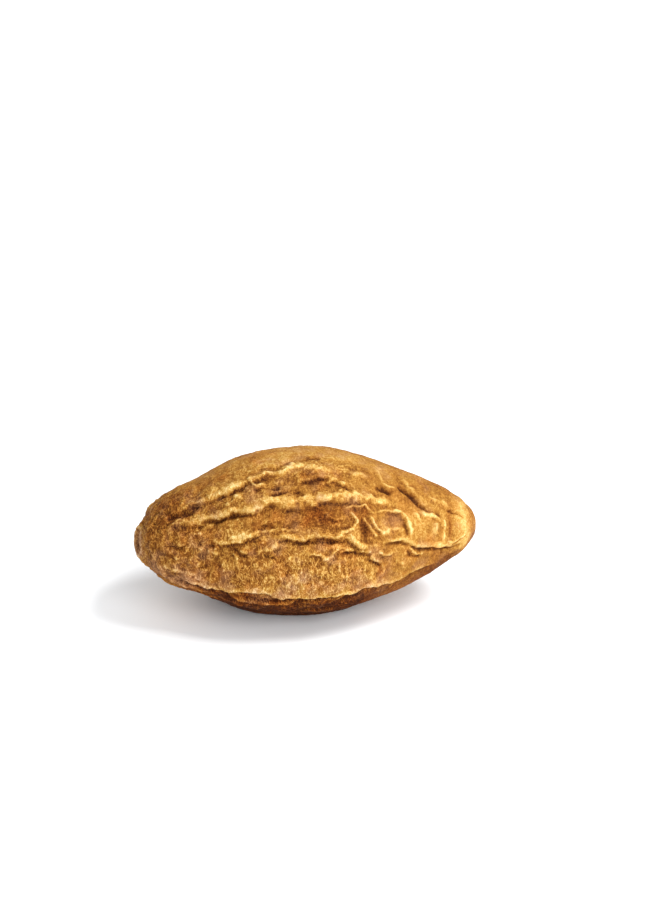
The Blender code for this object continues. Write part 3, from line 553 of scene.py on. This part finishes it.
class Skin:
    """The skin's points on their grid, with the relief, the stains and the painted shade and highlight
    laid on them.
    """

    def __init__(self):
        length = np.hypot(np.gradient(OUTLINE), np.gradient(OUTLINE_RADIUS))
        even = np.linspace(0, OUTLINE_RUN[-1], RINGS + 2)[1:-1]
        self.run = np.repeat(even, POINTS_ROUND)
        self.x = np.interp(self.run, OUTLINE_RUN, OUTLINE)
        even_angle = np.arange(POINTS_ROUND) * 2 * math.pi / POINTS_ROUND
        closer = CLOSER_BY * np.sin(even_angle - math.radians(CLOSER_AT))
        self.angle = np.tile(np.degrees(even_angle - closer), RINGS)
        self.coarse = 0.5 - 0.5 * np.cos(np.radians(self.angle - CLOSER_AT))
        self.radius = spindle_radius(self.x)
        self.lean = np.interp(self.run, OUTLINE_RUN, -np.gradient(OUTLINE_RADIUS) / length)
        self.rise = np.interp(self.run, OUTLINE_RUN, np.gradient(OUTLINE) / length)
        self.places = self.around(self.x, self.radius)
        self.height = np.zeros(len(self.x))
        # Painted shade in folds, grooves and hollows, and pale marks that are partly painted highlight
        self.painted_shade = np.zeros(len(self.x))
        self.pale = np.zeros(len(self.x))
        self.dusty = self.patches(DUSTY_PATCHES)
        calm = CALM_AT_TIP * ease(2, 10, self.x) + self.patches(CALM_PATCHES)
        self.rough = np.clip(1 - calm, LEAST_ROUGH, 1)
        self.low_front = self.patch(*LOW_FRONT)
        self.wander()

    def around(self, x, radius):
        """The points at these places along the axis and distances from it."""
        theta = np.radians(self.angle)
        return np.column_stack((x, -radius * np.cos(theta), radius * np.sin(theta)))

    def wander(self):
        """Shift the places that lines are drawn at a little, so that the lines wander."""
        shifts = []
        for seed in (1, 2):
            shift = 0.08 * noise(self.places, 1.6, seed) + 0.08 * noise(self.places, 0.7, seed + 10)
            shifts.append(shift + 0.05 * noise(self.places, 0.35, seed + 20))
        self.drawn_run = self.run + shifts[0]
        self.drawn_angle = self.angle + np.degrees(shifts[1] / np.maximum(self.radius, 1.0))

    def patch(self, middle, spread):
        """A soft spot, 1 at its middle, with its spreads in millimetres along and round."""
        along = (self.run - run_to(middle[0])) / spread[0]
        around = self.radius * np.radians(turn(self.angle - middle[1])) / spread[1]
        return np.exp(-along ** 2 - around ** 2)

    def patches(self, table):
        """All the soft spots of a table together, each times its amount."""
        return sum(amount * self.patch(middle, spread) for middle, spread, amount in table)

    def warped(self, grain, amount, seed):
        """The points' places in space, pushed about, so that patterns on them bend."""
        push = [noise(self.places, grain, seed + axis) for axis in range(3)]
        return self.places + amount * np.column_stack(push)

    def near_line(self, points, reach):
        """Skin points within reach of a line: which, how far to its left, how far along it."""
        line = smooth_line(points)
        middle = line[:, 1].mean()
        radius = spindle_radius(line[:, 0])
        knots = np.column_stack((run_to(line[:, 0]), radius * np.radians(line[:, 1] - middle)))
        around = self.radius * np.radians(turn(self.drawn_angle - middle))
        here = np.column_stack((self.drawn_run, around))
        inside = (here > knots.min(0) - reach) & (here < knots.max(0) + reach)
        which = np.flatnonzero(inside.all(1))
        start = knots[:-1]
        run = knots[1:] - start
        offset = here[which, None, :] - start[None, :, :]
        share = np.clip((offset * run).sum(2) / (run * run).sum(1), 0, 1)
        gap = offset - share[:, :, None] * run
        length = np.hypot(gap[:, :, 0], gap[:, :, 1])
        nearest = length.argmin(1)
        row = np.arange(len(which))
        side = run[nearest, 0] * offset[row, nearest, 1] - run[nearest, 1] * offset[row, nearest, 0]
        along = (nearest + share[row, nearest]) / len(run)
        return which, length[row, nearest] * np.where(side < 0, -1, 1), along

    def add_broad_forms(self):
        """Broad ribs and hollows."""
        self.height += self.patches(BROAD_FORMS)

    def add_crest(self, step, above, below, paleness_and_highlight, points):
        """An edge that the skin swells up to from above, with a steep drop into a fold below it."""
        which, across, along = self.near_line(points, 3 * max(above, below))
        places = self.places[which]
        waver = np.clip(1 + 0.6 * noise(places, 1.6, 5), 0.6, 1.3) * fade(along)
        lip = LIP_SHARE * step * np.exp(-np.abs(across) / above)
        foot = -FOOT_SHARE * step * np.exp(-np.abs(across + 0.3) / below)
        share = ease(DROP_FOOT, DROP_TOP, across)
        self.height[which] += (share * lip + (1 - share) * foot) * waver
        edge = EDGE_HEIGHT * (1 - self.coarse[which])
        self.height[which] += edge * np.exp(-((across - 0.10) / 0.16) ** 2) * waver
        ragged = across + 0.24 * noise(places, (0.28, 0.6, 0.6), 7) + 0.22 * noise(places, 0.9, 17)
        patchy = np.clip(0.5 + 1.8 * noise(places, 1.0, 8), 0, 1)
        # Painted shade in the fold just below the edge
        self.painted_shade[which] += 1.5 * step * np.exp(-((across + 0.38) / 0.14) ** 2) * waver * patchy
        # Pale band above the edge: partly the skin's own paler colour, partly painted highlight
        band = ease(-0.22, -0.02, ragged) * (1 - ease(0.05 * above, 0.8 * above, ragged))
        self.pale[which] += 2.4 * paleness_and_highlight * step * band * waver

    def add_rim(self, rise, width, points):
        """A thin ragged ridge, pale on top, partly as painted highlight, with painted shade beside its
        lower edge.
        """
        which, across, along = self.near_line(points, 5 * width)
        places = self.places[which]
        strength = rise * fade(along, 0.2) * np.clip(1 + 0.6 * noise(places, 0.9, 9), 0.4, 1.5)
        ragged = across + 0.8 * width * noise(places, 0.5, 19)
        patchy = np.clip(1.0 + 1.0 * noise(places, 0.6, 29), 0.4, 1.4)
        self.height[which] += strength * np.exp(-(ragged / width) ** 2)
        self.pale[which] += 4.5 * strength * patchy * np.exp(-(ragged / (0.65 * width)) ** 2)
        self.painted_shade[which] += 1.2 * strength * np.exp(-((across + 2.2 * width) / width) ** 2)

    def add_crease(self, depth, width, points):
        """A thin groove, darkened with painted shade."""
        which, across, along = self.near_line(points, 5 * width)
        strength = depth * fade(along) * np.clip(1 + 0.9 * noise(self.places[which], 1.3, 6), 0.3, 1.5)
        self.height[which] -= strength * np.exp(-(across / (1.3 * width)) ** 2)
        self.painted_shade[which] += 2.6 * strength * np.exp(-(across / (0.65 * width)) ** 2)

    def add_lines(self):
        """All the crests, rims and creases."""
        for crest in CRESTS + hidden_crests():
            self.add_crest(*crest)
        for rise, width, points in RIMS + crinkle_rims() + hidden_wrinkles():
            self.add_rim(rise, width, points)
        for depth, width, points in CREASES:
            self.add_crease(depth, width, points)

    def add_wrinkles(self):
        """Swellings and creases all over, nets of low rims, and upright crinkles low on the front."""
        bent = self.warped(1.6, 0.5, 71)
        for grain, rise, seed in SWELLINGS:
            swelling = np.abs(noise(bent, grain, seed)) / 0.3 - 0.7
            self.height += rise * self.rough * (1 - 0.6 * self.low_front) * swelling
        patchy = np.clip(0.5 + 1.3 * noise(self.places, 3.0, 27), 0.1, 1.3)
        stem_end = 1 - ease(-12, -7, self.x)
        for grain, rise, width, seed, at_stem_end in NETS:
            wall = wall_distance(self.warped(1.1 * grain[1], 0.5 * grain[1], seed), grain, seed)
            waver = np.clip(0.5 + 1.6 * noise(self.places, 1.4 * grain[1], seed + 5), 0, 1.5)
            share = rise * stem_end if at_stem_end else rise
            raised = share * self.rough * patchy * waver * np.exp(-wall / (width * (1 + self.coarse)))
            self.height += raised
            # The raised net walls are made paler, partly as painted highlight
            self.pale += 1.5 * raised
        wall = wall_distance(self.warped(1.0, 0.6, 61), (0.75, 1.8, 1.8), 64)
        upright = np.exp(-wall / 0.11) * np.clip(0.3 + 2.4 * noise(self.places, 1.1, 65), 0, 1)
        self.height += 0.12 * self.low_front * upright
        # The crinkles are made paler, partly as painted highlight
        self.pale += 0.30 * self.low_front * upright

    def add_grain(self):
        """A grainy surface, grainier at the stem end and smoother at the tip."""
        grainy = 1 + 0.8 * (1 - ease(-15, -8, self.x)) - 0.5 * ease(11, 15, self.x)
        self.height += 0.06 * noise(self.places, 1.5, 14)
        for grain, rise, seed in GRAINS:
            self.height += rise * grainy * noise(self.places, grain, seed)

    def settle(self):
        """Calm the patch that touches the ground, and the relief at the very ends."""
        round_ground = turn(self.angle + 90) / CALM_PATCH_ROUND
        resting = np.exp(-(self.x / CALM_PATCH_LONG) ** 4 - round_ground ** 4)
        self.height *= (1 - resting) * ease(-1.2, 2.0, self.radius)

    def add_scar(self, places):
        """Cut the stem end flat, sink the round scar a little and raise its rim."""
        facing = np.array(SCAR_FACING)
        reach = places @ facing
        beyond = np.maximum(reach - reach.max() + SCAR_CUT, 0)
        middle = places[reach.argmax()]
        off = np.linalg.norm(places - middle - np.outer(reach - reach.max(), facing), axis=1)
        off += 0.20 * noise(self.places, 0.8, 81)
        stem_end = 1 - ease(-15, -14, self.x)
        inside = stem_end * (1 - ease(0.78 * SCAR_RADIUS, SCAR_RADIUS, off))
        rim = stem_end * np.exp(-((off - 1.04 * SCAR_RADIUS) / 0.20) ** 2)
        groove = stem_end * np.exp(-((off - 0.82 * SCAR_RADIUS) / 0.12) ** 2)
        pit = stem_end * np.exp(-(off / 0.28) ** 2)
        ring = stem_end * np.exp(-((off - 0.55 * SCAR_RADIUS) / 0.16) ** 2)
        grit = 0.05 * noise(self.places, 0.3, 82) * inside
        threads = np.exp(-(noise(self.places, 0.5, 83) / 0.07) ** 2)
        # The scar's rim, ring and threads are made paler, partly as painted light, and its groove, pit
        # and hollow darker with painted shade
        self.pale += 0.9 * rim + 0.4 * ring + 0.7 * threads * inside
        self.painted_shade += 0.8 * groove + 0.9 * pit + 0.25 * inside
        self.dusty += 0.8 * (rim + inside)
        sunk = SCAR_DEPTH * (inside - 0.3 * ring + 0.3 * pit)
        return places + np.outer(SCAR_RIM * rim - sunk + grit - beyond, facing)

    def grid(self, values):
        """One value a point, as rows of rings."""
        return values.reshape(RINGS, POINTS_ROUND)

    def blurred(self, values, reach):
        """Mean of the values round each point, over about the reach in millimetres."""
        result = self.grid(values).copy()
        step_round = math.pi * GIRTH / POINTS_ROUND
        step_along = OUTLINE_RUN[-1] / RINGS
        for axis, step in ((1, step_round), (0, step_along)):
            width = reach / step
            offsets = np.arange(-int(2.5 * width), int(2.5 * width) + 1)
            weights = np.exp(-(offsets / width) ** 2)
            weights /= weights.sum()
            total = np.zeros_like(result)
            for offset, weight in zip(offsets, weights):
                if axis == 1:
                    total += weight * np.roll(result, offset, axis=1)
                else:
                    rows = np.clip(np.arange(RINGS) + offset, 0, RINGS - 1)
                    total += weight * result[rows]
            result = total
        return result.ravel()

    def final_places(self):
        """Places of the points in millimetres, sitting on the ground."""
        places = self.around(self.x + self.height * self.lean, self.radius + self.height * self.rise)
        places = self.add_scar(places)
        places[:, 2] = np.maximum(places[:, 2] + AXIS_HEIGHT, 0)
        return places

    def tone(self):
        """How light the skin is, with painted shade and highlight in it, from 0 in the darkest folds
        to 1 on the palest crests.
        """
        near = self.height - self.blurred(self.height, 0.45)
        wide = self.height - self.blurred(self.height, 1.6)
        # Painted shade in hollows and painted light on rises, from how far the height lies below or
        # above its mean round about
        tone = PLAIN_TONE + NEAR_RELIEF_PAINTED_SHADING * np.tanh(near / 0.09)
        tone += WIDE_RELIEF_PAINTED_SHADING * np.tanh(wide / 0.2)
        # Low on the front, the pale marks and the painted highlight in them are weaker
        low = ease(-5, -13, turn(self.angle)) * ease(-165, -140, turn(self.angle))
        low *= ease(-14, -5, self.x)
        # Pale marks, partly painted highlight, lighten the skin; painted shade in the folds darkens it
        tone += PALE_AND_HIGHLIGHT_TONE * np.tanh(self.pale) * (1 - 0.6 * low) - PAINTED_SHADE_TONE * np.tanh(self.painted_shade)
        tone += 0.08 * noise(self.places, 2.6, 21) + 0.07 * self.rough * noise(self.places, 0.8, 22)
        # Painted shade on the side that faces the ground
        tone -= UNDERSIDE_PAINTED_SHADE * self.underside()
        # Lighter and darker patches; the darker ones in hollows and under the lip are painted shade
        return np.clip(tone + self.patches(TONE_AND_SHADE_PATCHES), 0, 1)

    def underside(self):
        """1 on the side that faces the ground, 0 elsewhere and towards the stem end: where shade is
        painted, and the skin is redder.
        """
        below = ease(-20, -30, turn(self.angle)) * ease(-165, -140, turn(self.angle))
        return below * ease(-16.5, -8, self.x) * (1 - 0.6 * ease(3, 9, self.x))

    def redness(self):
        """How red-brown the skin is, from 0 where it is yellow to 1 underneath and at the stem."""
        red = 0.22 + 0.8 * self.underside() + 0.1 * (1 - ease(-17, -9, self.x))
        varied = 0.60 * noise(self.places, 2.4, 23) + 0.40 * noise(self.places, 0.9, 24)
        red += (0.5 + 0.5 * self.rough) * varied
        red -= 0.35 * np.tanh(self.pale)
        return np.clip(red + self.patches(RED_PATCHES), 0, 1)


def crinkle_rims():
    """The upright crinkles as thin rims."""
    rims = []
    for place, upper, lower, lean in CRINKLES:
        middle = (upper + lower) / 2
        line = ((place, upper), (place + 0.7 * lean, middle), (place + 0.6 * lean, lower))
        rims.append((CRINKLE_HEIGHT, CRINKLE_WIDTH, line))
    return tuple(rims)


def hidden_crests():
    """Long broken crests of the back and underside, with short ones across between them."""
    draw = random.Random(SEED)
    crests = []
    for middle in HIDDEN_CRESTS:
        start = draw.uniform(-16.5, -14.0)
        stop = draw.uniform(12.0, 15.5)
        while start < stop - 3.0:
            end = min(start + draw.uniform(7.0, 16.0), stop)
            drift = draw.uniform(-3.0, 3.0)
            stations = np.linspace(start, end, max(4, int((end - start) / 1.3)))
            points = [(station, middle + drift + draw.uniform(-3.0, 3.0)) for station in stations]
            step = draw.uniform(0.3, 0.55)
            crests.append((step, draw.uniform(0.7, 1.3), draw.uniform(0.7, 1.2), 0.8, points))
            start = end - draw.uniform(0.5, 2.5)
        for _ in range(2):
            place = draw.uniform(-13.0, 13.0)
            lean = draw.uniform(-1.2, 1.5)
            bridge = [(place, middle), (place + lean, middle + 8), (place + 0.5 * lean, middle + 17)]
            crests.append((draw.uniform(0.15, 0.28), 0.6, 0.6, 0.8, bridge))
    return tuple(crests)


def hidden_wrinkles():
    """Short thin rims scattered over the back and underside, most of them lengthwise."""
    draw = random.Random(SEED + 1)
    rims = []
    for _ in range(HIDDEN_WRINKLES):
        place = draw.uniform(-14.5, 14.5)
        angle = draw.uniform(*HIDDEN_SIDE)
        lengthwise = (draw.uniform(-0.5, 0.5), draw.uniform(-0.5, 0.5))
        heading = draw.choice(lengthwise + (draw.uniform(1.0, 2.1),))
        points = []
        for _ in range(4):
            points.append((place, angle))
            place += draw.uniform(0.5, 1.1) * math.cos(heading)
            angle += draw.uniform(4, 8) * math.sin(heading)
            heading += draw.uniform(-0.6, 0.6)
        rims.append((draw.uniform(0.10, 0.18), draw.uniform(0.22, 0.34), points))
    return tuple(rims)


def build_skin():
    """The fine skin as one closed mesh, with what its finish needs kept on its points."""
    skin = Skin()
    skin.add_broad_forms()
    skin.add_lines()
    skin.add_wrinkles()
    skin.add_grain()
    skin.settle()
    points = with_poles(skin.final_places()) * MM
    last = len(points) - 1
    ring = range(POINTS_ROUND)
    after = [(place + 1) % POINTS_ROUND for place in ring]
    faces = [(0, 1 + b, 1 + a) for a, b in zip(ring, after)]
    for row in range(RINGS - 1):
        low = 1 + row * POINTS_ROUND
        high = low + POINTS_ROUND
        faces += [(low + a, low + b, high + b, high + a) for a, b in zip(ring, after)]
    low = 1 + (RINGS - 1) * POINTS_ROUND
    faces += [(last, low + a, low + b) for a, b in zip(ring, after)]
    mesh = bpy.data.meshes.new("fine_skin")
    mesh.from_pydata(points.tolist(), [], faces)
    mesh.shade_smooth()
    keep(mesh, "tone", with_poles(skin.tone()))
    keep(mesh, "redness", with_poles(skin.redness()))
    keep(mesh, "upright", with_poles(np.clip(1.4 * skin.low_front, 0, 1)))
    keep(mesh, "rough", with_poles(skin.rough))
    keep(mesh, "dusty", with_poles(skin.dusty))
    fruit = bpy.data.objects.new("haritaki_skin", mesh)
    bpy.context.scene.collection.objects.link(fruit)
    return fruit


def with_poles(values):
    """The values with one more before and after them: the means of the first and last rings."""
    first = values[:POINTS_ROUND].mean(0, keepdims=True)
    last = values[-POINTS_ROUND:].mean(0, keepdims=True)
    return np.concatenate((first, values, last))


def keep(mesh, name, values):
    """Keep one number for each point of the mesh under a name."""
    layer = mesh.attributes.new(name, "FLOAT", "POINT")
    layer.data.foreach_set("value", values.astype(np.float32))


class Level:
    """A number that varies over a surface, so that sums on it build Math nodes."""

    def __init__(self, finish, socket):
        self.finish = finish
        self.socket = socket

    def math(self, operation, first, second):
        """A Math node on two numbers."""
        return self.finish.math(operation, first, second)

    def __add__(self, other):
        return self.math("ADD", self, other)

    __radd__ = __add__

    def __mul__(self, other):
        return self.math("MULTIPLY", self, other)

    __rmul__ = __mul__

    def __sub__(self, other):
        return self.math("SUBTRACT", self, other)

    def __rsub__(self, other):
        return self.math("SUBTRACT", other, self)

    def __abs__(self):
        return self.math("ABSOLUTE", self, 0.0)


def set_stops(ramp, stops):
    """Give a ramp its stops."""
    while len(ramp.elements) < len(stops):
        ramp.elements.new(1.0)
    for element, (place, colour) in zip(ramp.elements, stops):
        element.position = place
        element.color = colour


class Finish:
    """A material and the short ways to add nodes to it."""

    def __init__(self, name):
        self.material = bpy.data.materials.new(name)
        self.material.use_nodes = True
        self.tree = self.material.node_tree
        self.shader = self.tree.nodes["Principled BSDF"]

    def add(self, kind, settings=None, inputs=None, output=0):
        """Add one node: its settings first, then the values or links of its sockets."""
        node = self.tree.nodes.new(kind)
        for name, value in (settings or {}).items():
            if name == "stops":
                set_stops(node.color_ramp, value)
            else:
                setattr(node, name, value)
        for name, value in (inputs or {}).items():
            self.join(node.inputs[name], value)
        return Level(self, node.outputs[output])

    def math(self, operation, first, second):
        """A Math node on two numbers."""
        return self.add("ShaderNodeMath", {"operation": operation}, {0: first, 1: second})

    def join(self, socket, value):
        """Link a varying number or colour to a socket, or set a plain one."""
        if isinstance(value, Level):
            self.tree.links.new(value.socket, socket)
        else:
            socket.default_value = value

    def kept(self, name):
        """A number kept on the mesh's points."""
        return self.add("ShaderNodeAttribute", {"attribute_name": name}, output="Fac")

    def grain(self, place, size, roughness):
        """Noise with bumps of about the size, in millimetres."""
        scale = 1 / (size * MM)
        inputs = {"Vector": place, "Scale": scale, "Detail": 2.0, "Roughness": roughness}
        return self.add("ShaderNodeTexNoise", {}, inputs)

    def strands(self, place, size):
        """Thin winding threads, 1 on each and falling to 0 beside it."""
        inputs = {"Vector": place, "Scale": 1 / (size * MM), "Detail": 1.3, "Distortion": 0.9}
        waves = self.add("ShaderNodeTexNoise", {}, inputs)
        return self.math("MAXIMUM", 1 - abs(waves - 0.5) * 14, 0.0)

    def stretched(self, place, factors):
        """The place with each of its three measures multiplied by a factor."""
        return self.add("ShaderNodeVectorMath", {"operation": "MULTIPLY"}, {0: place, 1: factors})

    def ramp(self, value, stops):
        """Turn a number into a colour."""
        return self.add("ShaderNodeValToRGB", {"stops": stops}, {0: value})

    def mix(self, amount, first, second):
        """Mix two colours."""
        inputs = {0: amount, 6: first, 7: second}
        return self.add("ShaderNodeMix", {"data_type": "RGBA"}, inputs, output=2)


# Colours of the skin from its darkest folds, darkened with painted shade, to its palest crests, partly
# painted highlight: yellow, red-brown, dusty
YELLOW_STOPS = (
    (0.00, (0.050, 0.013, 0.003, 1.0)),
    (0.25, (0.180, 0.062, 0.009, 1.0)),
    (0.50, (0.390, 0.180, 0.030, 1.0)),
    (0.75, (0.595, 0.368, 0.105, 1.0)),
    (1.00, (0.790, 0.585, 0.260, 1.0)),
)
RED_STOPS = (
    (0.00, (0.034, 0.007, 0.001, 1.0)),
    (0.25, (0.145, 0.035, 0.004, 1.0)),
    (0.50, (0.345, 0.116, 0.017, 1.0)),
    (0.75, (0.570, 0.255, 0.060, 1.0)),
    (1.00, (0.740, 0.460, 0.200, 1.0)),
)
DUSTY_STOPS = (
    (0.00, (0.050, 0.018, 0.010, 1.0)),
    (0.50, (0.380, 0.180, 0.075, 1.0)),
    (1.00, (0.780, 0.560, 0.330, 1.0)),
)

# Patterns of the finish: their sizes in millimetres, and how far they change the tone
MOTTLE_SIZE = 0.9
SPECKLE_SIZE = 0.13
STRAND_SIZE = 0.32
DUST_SIZE = 2.2
BUMP_HEIGHT = 0.04
MOTTLE_TONE = 0.40
SPECKLE_TONE = 0.75
STRAND_MEAN = 0.28
DUST_LEVEL = 0.52


def dried_skin():
    """Golden tan dried skin, pale on its crests, partly as painted highlight, and darkened in its
    folds with painted shade.
    """
    finish = Finish("dried_skin")
    place = finish.add("ShaderNodeTexCoord", output="Object")
    along = finish.stretched(place, (0.4, 1.0, 1.0))
    upright = finish.stretched(place, (1.0, 0.6, 0.6))
    mottle = finish.grain(place, MOTTLE_SIZE, 0.6)
    lengthwise = finish.grain(along, SPECKLE_SIZE, 0.8)
    crosswise = finish.grain(upright, SPECKLE_SIZE, 0.8)
    speckle = lengthwise + (crosswise - lengthwise) * finish.kept("upright")
    strands = finish.strands(finish.stretched(place, (1.0, 0.5, 0.5)), STRAND_SIZE)
    rough = finish.kept("rough")
    strokes = (strands - STRAND_MEAN) * (0.20 + 0.15 * rough + 0.04 * finish.kept("upright"))
    fine = (mottle - 0.5) * MOTTLE_TONE + (speckle - 0.5) * SPECKLE_TONE + strokes
    tone = finish.kept("tone") + fine * (0.6 + 0.4 * rough)
    redness = finish.kept("redness") + (mottle - 0.5) * 0.6
    clean = finish.mix(redness, finish.ramp(tone, YELLOW_STOPS), finish.ramp(tone, RED_STOPS))
    dust = (finish.grain(place, DUST_SIZE, 0.6) - DUST_LEVEL) * (1.6 + 1.4 * rough)
    dust = dust + finish.kept("dusty")
    colour = finish.mix(dust, clean, finish.ramp(tone, DUSTY_STOPS))
    finish.join(finish.shader.inputs["Base Color"], colour)
    finish.join(finish.shader.inputs["Roughness"], 0.86 - tone * 0.24)
    finish.join(finish.shader.inputs["Specular IOR Level"], 0.06)
    height = speckle * 0.8 + strands * 0.4
    inputs = {"Strength": 0.5, "Distance": BUMP_HEIGHT * MM, "Height": height}
    finish.join(finish.shader.inputs["Normal"], finish.add("ShaderNodeBump", {}, inputs))
    return finish.material


def plain_finish(name, colour, roughness):
    """One colour all over."""
    finish = Finish(name)
    finish.shader.inputs["Base Color"].default_value = colour
    finish.shader.inputs["Roughness"].default_value = roughness
    return finish.material


def build_floor():
    """Plain pale ground, wide enough to fill the picture."""
    bpy.ops.mesh.primitive_plane_add(size=FLOOR_SIZE)
    floor = bpy.context.object
    floor.name = "floor"
    floor.data.materials.append(plain_finish("pale_floor", FLOOR_COLOUR, FLOOR_ROUGHNESS))


def add_light(name, place, size, power, aim):
    """A soft square light that faces a point."""
    lamp = bpy.data.lights.new(name, "AREA")
    lamp.size = size
    lamp.energy = power
    light = bpy.data.objects.new(name, lamp)
    light.location = place
    light.rotation_euler = (Vector(aim) - Vector(place)).to_track_quat("-Z", "Y").to_euler()
    bpy.context.scene.collection.objects.link(light)


def light_studio():
    """Even white sky light and the soft lamps."""
    world = bpy.data.worlds.new("studio")
    world.use_nodes = True
    sky = world.node_tree.nodes["Background"]
    sky.inputs["Color"].default_value = (1.0, 1.0, 1.0, 1.0)
    sky.inputs["Strength"].default_value = SKY_STRENGTH
    bpy.context.scene.world = world
    for name, place, size, power in LIGHTS:
        add_light(name, place, size, power, (0, 0, AXIS_HEIGHT * MM))
    bpy.context.scene.view_settings.view_transform = "Standard"


def place_camera():
    """Put the camera where the photograph was taken from."""
    turned = math.radians(CAMERA_AZIMUTH)
    raised = math.radians(CAMERA_ELEVATION)
    level = math.cos(raised)
    back = Vector((math.sin(turned) * level, -math.cos(turned) * level, math.sin(raised)))
    right = (-back).cross(Vector((0, 0, 1))).normalized()
    up = right.cross(-back)
    middle = Vector((0, 0, AXIS_HEIGHT))
    pixel_length = CAMERA_LENS / SENSOR * PHOTO_HEIGHT
    aside = (PHOTO_WIDTH / 2 - FRUIT_MIDDLE_PIXEL[0]) / pixel_length * CAMERA_DISTANCE
    above = (FRUIT_MIDDLE_PIXEL[1] - PHOTO_HEIGHT / 2) / pixel_length * CAMERA_DISTANCE
    aim = middle + aside * right + above * up
    place = middle + CAMERA_DISTANCE * back
    lens = bpy.data.cameras.new("camera")
    lens.sensor_fit = "AUTO"
    lens.sensor_width = SENSOR
    lens.lens = CAMERA_LENS
    lens.clip_start = 0.01
    lens.clip_end = 20.0
    camera = bpy.data.objects.new("camera", lens)
    camera.location = place * MM
    camera.rotation_euler = (aim - place).to_track_quat("-Z", "Y").to_euler()
    bpy.context.scene.collection.objects.link(camera)
    bpy.context.scene.camera = camera


fruit = build_skin()
fruit.data.materials.append(dried_skin())
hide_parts(FRUIT)
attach(fruit, "root")
build_floor()
light_studio()
place_camera()
